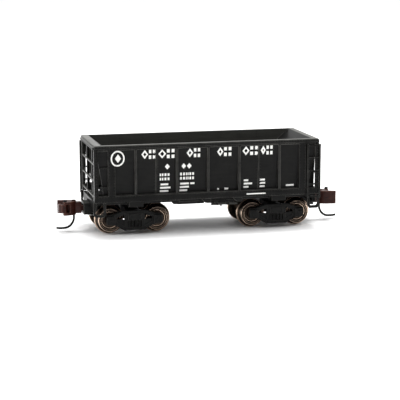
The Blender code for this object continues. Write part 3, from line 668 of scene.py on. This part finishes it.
# Round pieces about their own middles: axis, finish, steps and a profile of (radius, along).
turnedLook = {
    "air_reservoir": ("Y", "bodyPlastic", 40, [
        (0, -3.4), (0.35, -3.38), (0.62, -3.28), (0.8, -3.1), (0.88, -2.9), (0.9, -2.62), (0.86, -2.6),
        (0.86, -2.45), (0.9, -2.43), (0.9, -0.1), (0.86, -0.08), (0.86, 0.08), (0.9, 0.1), (0.9, 2.43),
        (0.86, 2.45), (0.86, 2.6), (0.9, 2.62), (0.88, 2.9), (0.8, 3.1), (0.62, 3.28), (0.35, 3.38),
        (0, 3.4)]),
    "brake_cylinder": ("Y", "bodyPlastic", 40, [
        (0, -2.6), (0.6, -2.58), (0.8, -2.5), (0.85, -2.4), (1.06, -2.4), (1.1, -2.36), (1.1, -2.14),
        (1.06, -2.1), (0.95, -2.08), (0.95, 0.78), (1.06, 0.8), (1.1, 0.84), (1.1, 1.06), (1.06, 1.1),
        (0.85, 1.12), (0.6, 1.32), (0.42, 1.4), (0.25, 1.42), (0.25, 2.5), (0.18, 2.6), (0, 2.6)]),
    "kingpin_": ("Z", "truckPlastic", 40, [
        (0, -1.5), (1.16, -1.5), (1.3, -1.43), (1.35, -1.3), (1.35, -1.05), (0.85, -1.05), (0.85, 1.42),
        (0.8, 1.47), (0.65, 1.5), (0, 1.5)]),
    "knuckle_pin_": ("Z", "truckPlastic", 24, [
        (0, -1.66), (0.19, -1.66), (0.22, -1.62), (0.22, 1.29), (0.38, 1.29), (0.4, 1.33), (0.4, 1.5),
        (0.36, 1.6), (0.22, 1.65), (0, 1.66)]),
}


def turnedPieces():
    for node in sorted(nodes):
        start = next((key for key in turnedLook if node.startswith(key)), None)
        if not start:
            continue
        axis, finish, steps, profile = turnedLook[start]
        low, high = (Vector(corner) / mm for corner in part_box(node))
        centre = (low + high) / 2
        settle(pieceName(node), lathe(profile, axis, centre, steps), finish, bodyOf(node), [node], sharp=40)


def brakeWheel():
    low, high = (Vector(corner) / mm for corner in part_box("brake_wheel"))
    centre = (low + high) / 2
    across = (high.y - low.y) / 2
    rim = [(across - 0.13 + 0.12 * math.cos(turn), 0.13 * math.sin(turn))
           for turn in (2 * math.pi * step / 10 for step in range(10))]
    hub = [(0, -0.15), (0.3, -0.15), (0.35, -0.1), (0.35, 0.08), (0.22, 0.12), (0.2, 0.15), (0, 0.15)]
    parts = [lathe(rim, "X", centre, 48, closed=True), lathe(hub, "X", centre, 24)]
    for spoke in range(5):
        angle = 2 * math.pi * spoke / 5
        way = Vector((0, -math.sin(angle), math.cos(angle)))
        points = [centre + way * 0.2, centre + way * 0.7 + Vector((-0.04, 0, 0)),
                  centre + way * (across - 0.1)]
        parts.append(bar(points, 0.085, 8))
    settle("brakeWheel", joined(parts), "bodyPlastic", "car", ["brake_wheel"], sharp=40)


# The curved wire under each coupler: down, round a quarter turn and out to a slightly lifted toe.
tripLook = {"radius": 0.255, "inset": 0.22, "bend": 2.2, "bendTop": 3.3, "bendFoot": 0.85,
            "upper": (5.0, 3.6), "bendSteps": 18, "toe": [(31.2, 0, 0.84), (31.7, 0, 0.85), (32.27, 0, 0.95)]}


def tripPins():
    look = tripLook
    reach, top, foot = look["bend"], look["bendTop"], look["bendFoot"]
    for side, sign in ends.items():
        node = "trip_pin_" + side
        low, high = (Vector(corner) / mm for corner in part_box(node))
        rear = (low.x if sign > 0 else -high.x) + look["inset"]
        points = [(rear, 0, z) for z in (high.z - 0.02, high.z - 0.06, *look["upper"])]
        for step in range(look["bendSteps"] + 1):
            angle = math.pi / 2 * step / look["bendSteps"]
            points.append((rear + reach - reach * math.cos(angle), 0, top - (top - foot) * math.sin(angle)))
        mesh = bar(points + look["toe"], look["radius"], 20)
        if sign < 0:
            mesh.transform(halfTurn)
        settle(pieceName(node), mesh, "blackSteel", "coupler_" + side, [node], sharp=40)


def knuckleSprings():
    look = {"Turns": 4.0, "Height": 0.3 * mm, "Coil Radius": 0.155 * mm, "Wire Radius": 0.03 * mm,
            "Steps": 20, "Finish": materials["springBronze"]}
    for side in ends:
        node = "knuckle_spring_" + side
        low, high = (Vector(corner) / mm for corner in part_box(node))
        foot = ((low.x + high.x) / 2, low.y + 0.02, (low.z + high.z) / 2)
        mesh = grown(facingMesh([([foot], (0, 1, 0))]), coils, look)
        settle(pieceName(node), mesh, "springBronze", "coupler_" + side, [node], sharp=60)


# The thick part of the shank between box and head, and the boss that the trip pin stands in.
shankLook = {"reach": (26.72, 28.15), "halfWidth": 0.85, "height": (4.15, 6.62), "bossRadius": 0.5,
             "bossTop": 7.08, "bossHeight": 0.48, "rounding": 0.1}


def shanks():
    low, high = shankLook["reach"]
    foot, top = shankLook["height"]
    half = shankLook["halfWidth"]
    outline = [(low, -half + 0.12), (low + 0.12, -half), (high - 0.2, -half), (high, -half + 0.05),
               (high, half - 0.05), (high - 0.2, half), (low + 0.12, half), (low, half - 0.12)]
    for side, sign in ends.items():
        node = "coupler_head_" + side
        rear, front = (sign * corner.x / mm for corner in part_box("trip_pin_" + side))
        pinX = min(rear, front) + tripLook["inset"]
        radius, boss = shankLook["bossRadius"], shankLook["bossTop"]
        seat = boss - shankLook["bossHeight"]
        ring = [(0, seat), (radius, seat), (radius, boss - 0.1), (radius - 0.1, boss), (0, boss)]
        block = evaluated(prism(outline, "Z", foot, top), roundCorners)
        sleeve = joined([block, lathe(ring, "Z", (pinX, 0, 0), 24)])
        if sign < 0:
            sleeve.transform(halfTurn)
        settle("shank" + side.capitalize(), sleeve, "couplerPlastic", bodyOf(node), sharp=40)


def roundCorners(shape):
    bevel = shape.modifiers.new("round", "BEVEL")
    bevel.width = shankLook["rounding"] * mm
    bevel.segments = 3
    bevel.limit_method = "ANGLE"


turnedPieces()
brakeWheel()
tripPins()
knuckleSprings()
shanks()
print("pins, cylinders and springs made")


# Rivets on the body stand in rows on the near side and the right end, and in the same rows half a turn
# round. Sheets are given by height and half-width at foot and top.
bodyLook = {"seams": (-11.5, 11.5), "posts": (20.85, 21.85), "cornerPost": 24.72, "face": 9.3,
            "reach": 24.9, "sill": (7.95, 8.85), "chord": 19.78, "chordFace": 9.5, "underChord": 19.2,
            "upright": (9.3, 18.9),
            "sheetFoot": (9.1, 8.15), "sheetTop": (19.7, 9.15), "innerFoot": (9.1, 7.7),
            "innerTop": (20.15, 8.75), "sheetRivets": (9.35, 18.9), "seamHalf": 0.4, "stiffenerHalf": 0.3,
            "slopeFoot": (9.0, 8.3), "slopeTop": (23.6, 20.15), "slopeRows": (0.25, 0.5, 0.75)}


def leaning(z, foot, top):
    # half-width of a leaning sheet at a height
    return foot[1] + (top[1] - foot[1]) * (z - foot[0]) / (top[0] - foot[0])


def sideRows():
    look = bodyLook
    face, reach = look["face"], look["reach"]
    near = Vector((0, -1, 0))
    rows = [([(-reach, -face, z), (reach, -face, z)], near) for z in look["sill"]]
    for depth, z in ((look["chordFace"], look["chord"]), (face, look["underChord"])):
        rows.append(([(-reach, -depth, z), (reach, -depth, z)], near))
    uprights = [*ribPlaces] + [sign * x for sign in (-1, 1) for x in (*look["posts"], look["cornerPost"])]
    rows += [([(x, -face, z) for z in look["upright"]], near) for x in uprights]
    for x in look["seams"]:
        for offset in (-look["seamHalf"], look["seamHalf"]):
            line = [(x + offset, -leaning(z, look["sheetFoot"], look["sheetTop"]), z)
                    for z in look["sheetRivets"]]
            rows.append((line, near))
    for x in (*ribPlaces, *look["seams"]):      # inside, down to just above the sloping sheets
        for offset in (-look["stiffenerHalf"], look["stiffenerHalf"]):
            foot = 11.0 if abs(x) < 9 else 16.6 if abs(x) > 15 else 13.0
            line = [(x + offset, -leaning(z, look["innerFoot"], look["innerTop"]), z) for z in (foot, 19.8)]
            rows.append((line, -near))
    return rows


def endRows():
    away = Vector((1, 0, 0))
    rows = [([(25.4, -8.3, 19.45), (25.4, 8.3, 19.45)], away)]
    rows += [([(25.15, y, 9.3), (25.15, y, 18.9)], away) for y in (-8.6, 8.6)]
    (footX, footZ), (topX, topZ) = bodyLook["slopeFoot"], bodyLook["slopeTop"]
    slope = Vector((footZ - topZ, 0, topX - footX)).normalized()
    for share in bodyLook["slopeRows"]:
        x, z = footX + (topX - footX) * share, footZ + (topZ - footZ) * share
        reach = leaning(z, bodyLook["innerFoot"], bodyLook["innerTop"]) - 0.3
        rows.append(([(x, -reach, z), (x, reach, z)], slope))
    return rows


def bodyRivets():
    values = {"Pitch": 0.62 * mm, "Head Radius": 0.1 * mm, "Head Height": 0.055 * mm, "Spread": 0.06,
              "Seed": 3, "Finish": materials["bodyPlastic"]}
    mesh = grown(facingMesh(bothWays(sideRows() + endRows())), rivetRows, values)
    store(mesh, "edge", [0.3] * len(mesh.vertices), "POINT")      # heads given a little of the edges' lighter colour
    settle("bodyRivets", mesh, "bodyPlastic", "car", sharp=60)


bodyRivets()
print("rivets set")


# White marks on the sides: plain shapes where a road's own lettering would be.
markLook = {
    "thickness": 0.02, "sunk": 0.01,
    "large": {"z": (16.9, 18.9), "spans": [
        (-14.8, -13.3), (-13.15, -11.75), (-11.1, -9.35), (-9.2, -7.5), (-4.8, -3.35), (-3.2, -1.8),
        (2.0, 3.4), (3.55, 5.2), (7.7, 9.3), (9.45, 11.2), (11.85, 13.0), (13.15, 14.55)]},
    "middle": {"z": (14.4, 15.65), "spans": [(-9.6, -8.5), (-5.9, -4.9), (-4.7, -3.65)]},
    "number": {"z": (12.0, 13.55), "spans": [(-10.7, -9.9), (-9.65, -8.55), (-6.2, -5.1), (-4.9, -4.3),
                                             (-4.1, -3.1)]},
    "dashes": [(-10.5, -8.8, 11.1), (-10.6, -8.3, 10.35), (-10.65, -8.75, 9.6), (-6.15, -4.2, 11.1),
               (-3.9, -2.95, 11.1), (-6.2, -4.2, 10.35), (-6.3, -4.55, 9.6), (8.2, 9.2, 11.25),
               (8.2, 10.1, 10.5), (8.15, 9.3, 9.75), (11.85, 13.0, 11.25), (11.85, 13.1, 10.5),
               (11.85, 13.0, 9.75), (2.2, 2.6, 9.55), (3.85, 4.7, 9.55), (17.9, 19.7, 9.75)],
    "dashHalf": 0.2, "strip": (8.6, 12.9, 8.35), "stripHalf": 0.13,
    "emblem": {"x": -20.0, "z": 17.2, "radius": 1.55, "band": 0.3, "tall": 1.12, "steps": 40,
               "diamond": (-0.58, 0.78, 0.95)},
}


postEdge = -20.6         # where the wide post beside the left opening ends
sillTop = 9.1            # below it the marks lie on the side sill


def markDepth(x, z):
    if x < postEdge or z < sillTop:
        return bodyLook["face"]
    return leaning(z, bodyLook["sheetFoot"], bodyLook["sheetTop"])


def cutAt(corners, edge, way):
    # the part of an outline on one side of an upright line
    kept = []
    for k, (x, z) in enumerate(corners):
        nextX, nextZ = corners[(k + 1) % len(corners)]
        if way * (x - edge) >= 0:
            kept.append((x, z))
        if (x - edge) * (nextX - edge) < 0:
            kept.append((edge, z + (nextZ - z) * (edge - x) / (nextX - x)))
    return kept


def acrossStep(corners):
    # slabs on both levels where an outline crosses the edge of the post
    pieces = (cutAt(corners, postEdge, -1), cutAt(corners, postEdge, 1))
    return [markSlab(piece) for piece in pieces if len(piece) > 2]


def markSlab(corners):
    # a thin slab over (x, z) corners that lies on the side
    middleX = sum(x for x, z in corners) / len(corners)
    middleZ = sum(z for x, z in corners) / len(corners)
    outlines = []
    for proud in (-markLook["sunk"], markLook["thickness"]):
        outlines.append([(x, -markDepth(middleX, z if middleZ > sillTop else middleZ) - proud, z)
                         for x, z in corners])
    return slab(*outlines)


def slabBox(x0, x1, z0, z1):
    return markSlab([(x0, z0), (x1, z0), (x1, z1), (x0, z1)])


def fourSquares(x0, x1, z0, z1, share=0.38):
    # two by two small squares with a gap between
    wide, high = (x1 - x0) * share, (z1 - z0) * share
    return [slabBox(x, x + wide, z, z + high) for x in (x0, x1 - wide) for z in (z0, z1 - high)]


def diamond(x0, x1, z0, z1, width=0.27):
    # four strokes round an open middle
    cx, cz, rx, rz = (x0 + x1) / 2, (z0 + z1) / 2, (x1 - x0) / 2, (z1 - z0) / 2
    outer = [(cx - rx, cz), (cx, cz - rz), (cx + rx, cz), (cx, cz + rz)]
    keep = 1 - 1.5 * width / min(rx, rz)
    inner = [(cx + (x - cx) * keep, cz + (z - cz) * keep) for x, z in outer]
    return [markSlab([outer[k], outer[(k + 1) % 4], inner[(k + 1) % 4], inner[k]]) for k in range(4)]


def solidDiamond(x0, x1, z0, z1):
    cx, cz = (x0 + x1) / 2, (z0 + z1) / 2
    return [markSlab([(x0, cz), (cx, z0), (x1, cz), (cx, z1)])]


def emblemRing():
    # a ring with a solid diamond in it
    look = markLook["emblem"]
    middleX, middleZ, radius = look["x"], look["z"], look["radius"]
    inner = radius - look["band"]
    parts = []
    for k in range(look["steps"]):
        start, stop = (2 * math.pi * step / look["steps"] for step in (k, k + 1))
        corners = [(middleX + r * math.cos(t), middleZ + r * math.sin(t) * look["tall"])
                   for r, t in ((radius, start), (radius, stop), (inner, stop), (inner, start))]
        parts += acrossStep(corners)
    left, right, half = look["diamond"]
    return parts + solidDiamond(middleX + left, middleX + right, middleZ - half, middleZ + half)


def sideMarks():
    parts = []
    low, high = markLook["large"]["z"]
    for k, (x0, x1) in enumerate(markLook["large"]["spans"]):
        parts += diamond(x0, x1, low, high) if k % 2 == 0 else fourSquares(x0, x1, low, high)
    for row, draw in (("middle", solidDiamond), ("number", fourSquares)):
        low, high = markLook[row]["z"]
        for x0, x1 in markLook[row]["spans"]:
            parts += draw(x0, x1, low, high)
    half = markLook["dashHalf"]
    for x0, x1, z in markLook["dashes"]:
        parts.append(slabBox(x0, x1, z - half, z + half))
    x0, x1, z = markLook["strip"]
    half = markLook["stripHalf"]
    parts.append(slabBox(x0, x1, z - half, z + half))
    parts += emblemRing()
    near = joined(parts)
    settle("sideMarks", joined([near, moved(near, halfTurn)]), "printedWhite", "car", sharp=30)


sideMarks()
print("side marks laid on")


# The plate behind the near ladder, which leaves only a thin slit beside the corner post.
plateLook = {"thick": 0.2, "corners": [
    (22.7, 9.15), (24.42, 9.15), (24.42, 12.2), (24.33, 12.6), (24.33, 14.8), (24.42, 15.2), (24.42, 16.9),
    (23.6, 17.4), (22.7, 17.4)]}


def ladderPlate():
    foot, top = bodyLook["innerFoot"], bodyLook["innerTop"]
    outlines = [[(x, depth - leaning(z, foot, top), z) for x, z in plateLook["corners"]]
                for depth in (0.0, plateLook["thick"])]
    settle("ladderPlate", evaluated(slab(*outlines), roundCorners), "bodyPlastic", "car", sharp=40)


ladderPlate()


# What the trucks carry: springs, journal lids, ribs, webs and bolts, counted from the kingpin.
truckLook = {
    "springPlaces": (-1.15, -0.4, 0.4, 1.15), "springFoot": 1.72, "springY": 6.75, "face": 7.15,
    "journal": (5.225, 3.3), "hinge": (0.5, 7.56, 4.22), "hingeRadius": 0.13, "ribRadius": 0.13,
    "nest": [(-1.7, 1.6), (1.7, 1.6), (1.7, 3.35), (-1.7, 3.35)], "nestDepth": (6.37, 6.49),
    "lidRings": [(0, 7.7), (0.42, 7.7), (0.47, 7.68), (0.5, 7.62), (0.62, 7.6), (0.68, 7.64), (0.74, 7.64),
                 (0.8, 7.6), (0.82, 7.5), (0, 7.5)],
    "topRib": [(-6.1, 4.35), (-4.4, 4.62), (-2.55, 5.3), (2.55, 5.3), (4.4, 4.62), (6.1, 4.35)],
    "lowRib": [(-5.9, 2.5), (-4.5, 2.45), (-2.3, 1.28), (2.3, 1.28), (4.5, 2.45), (5.9, 2.5)],
    "bolts": [(-1.1, 3.7), (1.1, 3.7), (-1.1, 4.4), (1.1, 4.4), (-2.05, 4.95), (2.05, 4.95), (-1.95, 3.3),
              (1.95, 3.3), (-1.95, 1.45), (1.95, 1.45)],
    "boltFace": {-1.1: 7.4, 1.1: 7.4},
    "web": [(2.1, 1.85), (4.05, 2.9), (4.05, 3.45), (3.2, 3.5), (2.1, 3.3)], "webDepth": (6.45, 6.95),
}


def sideframeParts(face, centre):
    # what is added to one sideframe: its ribs, spring seat, webs, journal lids and lid hinges
    look = truckLook
    flat = [bar([(x, face * look["face"], z) for x, z in look[rib]], look["ribRadius"], 8)
            for rib in ("topRib", "lowRib")]
    flat.append(prism(look["nest"], "Y", *sorted(face * depth for depth in look["nestDepth"])))
    parts = []
    for end in (-1, 1):
        web = [(end * x, z) for x, z in look["web"]]
        flat.append(prism(web, "Y", *sorted(face * depth for depth in look["webDepth"])))
        x, z = look["journal"]
        x = centre + end * x
        rings = [(radius, face * along) for radius, along in look["lidRings"]]
        parts.append(lathe(rings, "Y", (x, 0, z), 40))
        half, depth, height = look["hinge"]
        hinge = [(x + along, face * depth, height) for along in (-half, half)]
        parts.append(bar(hinge, look["hingeRadius"], 10))
    return [moved(part, shift(centre, 0, 0)) for part in flat] + parts


def truckDetails(side):
    look = truckLook
    low, high = (Vector(corner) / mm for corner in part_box("kingpin_" + side))
    centre = (low.x + high.x) / 2
    springs, bolts, parts = [], [], []
    for face in (-1, 1):
        for x in look["springPlaces"]:
            springs.append(([(centre + x, face * look["springY"], look["springFoot"])], (0, 0, 1)))
        for x, z in look["bolts"]:
            depth = look["boltFace"].get(x, look["face"])
            line = [(centre + along, face * depth, z) for along in (x, x + 0.01)]
            bolts.append((line, (0, face, 0)))
        parts += sideframeParts(face, centre)
    values = {"Turns": 5.0, "Height": 1.5 * mm, "Coil Radius": 0.3 * mm, "Wire Radius": 0.075 * mm,
              "Steps": 18, "Finish": materials["truckPlastic"]}
    springMesh = grown(facingMesh(springs), coils, values)
    values = {"Pitch": 1.0 * mm, "Head Radius": 0.15 * mm, "Head Height": 0.09 * mm, "Spread": 0.04,
              "Seed": 5, "Finish": materials["truckPlastic"]}
    boltMesh = grown(facingMesh(bolts), rivetRows, values)
    for name, mesh, sharp in (("truckSprings", springMesh, 60), ("truckBolts", boltMesh, 60),
                              ("truckRibs", joined(parts), 40)):
        settle(name + side.capitalize(), mesh, "truckPlastic", "truck_" + side, sharp=sharp)


for side in ends:
    truckDetails(side)
print("truck details made")


# Floor, lights and camera are in millimetres and watts. The sky's stops run from the horizon up, and a
# darker band keeps glare off the sloping sheets.
stageLook = {"floor": (0.97, 0.97, 0.97), "reach": 4000, "grain": 8.0, "world": 1.45,
             "sky": [(0.0, 0.68), (0.03, 0.68), (0.1, 0.2), (0.48, 0.2), (0.64, 1.0)]}
lightLook = {
    "overhead": {"at": (20, 60, 420), "size": (170, 130), "power": 1.4},
    "leftStrip": {"at": (-330, -20, 120), "size": (60, 260), "power": 0.35},
    "rightStrip": {"at": (330, 60, 130), "size": (60, 260), "power": 0.35},
    "backPanel": {"at": (60, 520, 110), "size": (700, 160), "power": 0.45},
}


def paleFloor():
    material, shader, wire, place = newMaterial("paleFloor", specular=0.1)
    grain = noise(wire, place, stageLook["grain"], 4.0)
    light = stageLook["floor"]
    feed(shader, "Base Color", blendColours(wire, grain, [0.985 * each for each in light], light))
    feed(shader, "Roughness", 0.6 + grain * 0.1)
    bm = bmesh.new()
    bmesh.ops.create_grid(bm, x_segments=1, y_segments=1, size=stageLook["reach"])
    bm.transform(Matrix.Scale(mm, 4))
    mesh = meshOf(bm, outward=False)
    mesh.materials.append(material)
    floor = bpy.data.objects.new("floor", mesh)
    scene.collection.objects.link(floor)


def areaLight(name, look):
    data = bpy.data.lights.new(name, "AREA")
    data.shape = "RECTANGLE"
    data.size, data.size_y = (each * mm for each in look["size"])
    data.energy = look["power"]
    light = bpy.data.objects.new(name, data)
    at = Vector(look["at"])
    light.location = at * mm
    light.rotation_euler = (Vector((0, 0, 8)) - at).to_track_quat("-Z", "Y").to_euler()
    light.visible_camera = False
    scene.collection.objects.link(light)


def studio():
    world = bpy.data.worlds.new("studio")
    world.use_nodes = True
    background = world.node_tree.nodes["Background"]
    background.inputs["Strength"].default_value = stageLook["world"]
    wire = Wire(world.node_tree)
    way = wire.node("ShaderNodeTexCoord", output=0)
    height = wire.node("ShaderNodeSeparateXYZ", {}, {0: way}, output=2)
    sky = wire.node("ShaderNodeValToRGB", {"stops": stageLook["sky"]}, {0: height})
    feed(background, "Color", sky)
    scene.world = world
    for name, look in lightLook.items():
        areaLight(name, look)


cameraLook = {"azimuth": -13.32, "elevation": 10.27, "distance": 318.45, "target": (0.26, 0, 5.74),
              "lens": 127.35, "roll": -0.15}


def camera():
    azimuth, elevation = math.radians(cameraLook["azimuth"]), math.radians(cameraLook["elevation"])
    back = Vector((math.sin(azimuth) * math.cos(elevation), -math.cos(azimuth) * math.cos(elevation),
                   math.sin(elevation)))
    data = bpy.data.cameras.new("camera")
    data.sensor_width = 36
    data.lens = cameraLook["lens"]
    data.clip_start, data.clip_end = 0.01, 10
    view = bpy.data.objects.new("camera", data)
    view.location = (Vector(cameraLook["target"]) + back * cameraLook["distance"]) * mm
    level = (-back).to_track_quat("-Z", "Y").to_matrix().to_4x4()
    turn = level @ Matrix.Rotation(math.radians(cameraLook["roll"]), 4, "Z")
    view.rotation_euler = turn.to_euler()
    scene.collection.objects.link(view)
    scene.camera = view


paleFloor()
studio()
camera()
scene.view_settings.view_transform = "Standard"
print("stage set")
